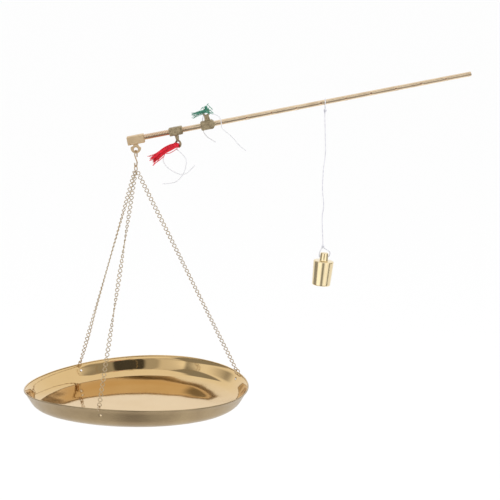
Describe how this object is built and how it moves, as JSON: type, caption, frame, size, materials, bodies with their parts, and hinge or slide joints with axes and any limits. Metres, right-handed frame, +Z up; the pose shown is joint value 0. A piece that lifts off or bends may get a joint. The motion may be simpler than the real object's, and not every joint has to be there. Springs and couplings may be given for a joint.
{
  "type": "steelyard",
  "caption": "Hand steelyard: a tapered brass beam hung from an eye, a dished pan on chains at the short end and a poise that slides on a thread along the graduated end.",
  "frame": {"origin": "centre of the lifting eye's hole, where the cord holds the steelyard", "axes": "+X towards the beam's thin end, +Z up, +Y away from the graduated side; the beam rests with its thin end up"},
  "size_m": [0.3904, 0.1998, 0.3029],
  "materials": {
    "beam_brass": "satin, handled",
    "copper": "satin, reddish",
    "load_brass": "satin, polished faces",
    "cast_brass": "rough cast, tarnished",
    "wire_brass": "satin",
    "chain_brass": "satin, pale",
    "pan_brass": "polished inside, dull below",
    "poise_brass": "turned, satin",
    "thread": "twisted thread",
    "red_yarn": "loose yarn",
    "green_yarn": "loose yarn",
    "silk": "silk cord"
  },
  "bodies": {
    "lifting_cord": {"green_tassel": "green_yarn", "green_cord_a": "silk", "green_cord_b": "silk"},
    "beam": {"beam": "beam_brass", "graduation_studs": "copper", "load_block": "load_brass", "load_pivot_pin": "cast_brass", "red_fulcrum_block": "cast_brass", "red_cross_pin": "copper", "green_fulcrum_block": "cast_brass", "green_cross_pin": "copper"},
    "load_eye": {"load_eye": "load_brass"},
    "hook": {"s_hook": "wire_brass"},
    "pan": {"gather_ring": "wire_brass", "chain_right": "chain_brass", "chain_rear": "chain_brass", "chain_front": "chain_brass", "pan_ring_right": "wire_brass", "pan_ring_rear": "wire_brass", "pan_ring_front": "wire_brass", "pan": "pan_brass"},
    "poise_loop": {"poise_loop": "thread"},
    "poise_knot": {"poise_knot": "thread"},
    "poise_cord": {"poise_cord": "thread"},
    "poise": {"poise": "poise_brass"},
    "red_tassel": {"red_tassel": "red_yarn", "red_cord_a": "silk", "red_cord_b": "silk"}
  },
  "joints": [
    {"name": "beam_tilt", "type": "hinge", "parent": "lifting_cord", "child": "beam", "pos_m": [0, 0, 0], "axis": [0, 1, 0], "range_deg": [-16, 30]},
    {"name": "load_eye_swing", "type": "hinge", "parent": "beam", "child": "load_eye", "pos_m": [-0.06077, 0, -0.02421], "axis": [0, -1, 0], "range_deg": [-16, 36]},
    {"name": "hook_swing", "type": "hinge", "parent": "load_eye", "child": "hook", "pos_m": [-0.06077, 0, -0.03641], "axis": [0.9397, -0.342, 0], "range_deg": [-25, 25]},
    {"name": "pan_turn", "type": "hinge", "parent": "hook", "child": "pan", "pos_m": [-0.06077, 0, -0.04711], "axis": [0, 0, 1], "range_deg": [0, 60]},
    {"name": "poise_slide", "type": "slide", "parent": "beam", "child": "poise_loop", "axis": [0.9798, 0, 0.1999], "range_m": [-0.079, 0.12]},
    {"name": "poise_swing", "type": "hinge", "parent": "poise_loop", "child": "poise_knot", "pos_m": [0.10368, 0, 0.00275], "axis": [0, -1, 0], "range_deg": [-22, 40]},
    {"name": "poise_sway", "type": "hinge", "parent": "poise_knot", "child": "poise_cord", "pos_m": [0.10368, 0, 0.0009], "axis": [1, 0, 0], "range_deg": [-30, 30]},
    {"name": "poise_rock", "type": "hinge", "parent": "poise_cord", "child": "poise", "pos_m": [0.10488, 0, -0.12705], "axis": [0.9954, 0, -0.0958], "range_deg": [-30, 30]},
    {"name": "red_tassel_swing", "type": "hinge", "parent": "beam", "child": "red_tassel", "pos_m": [-0.0232, 0, -0.03018], "axis": [0.7504, -0.6428, 0.154], "range_deg": [-10, 45]}
  ]
}
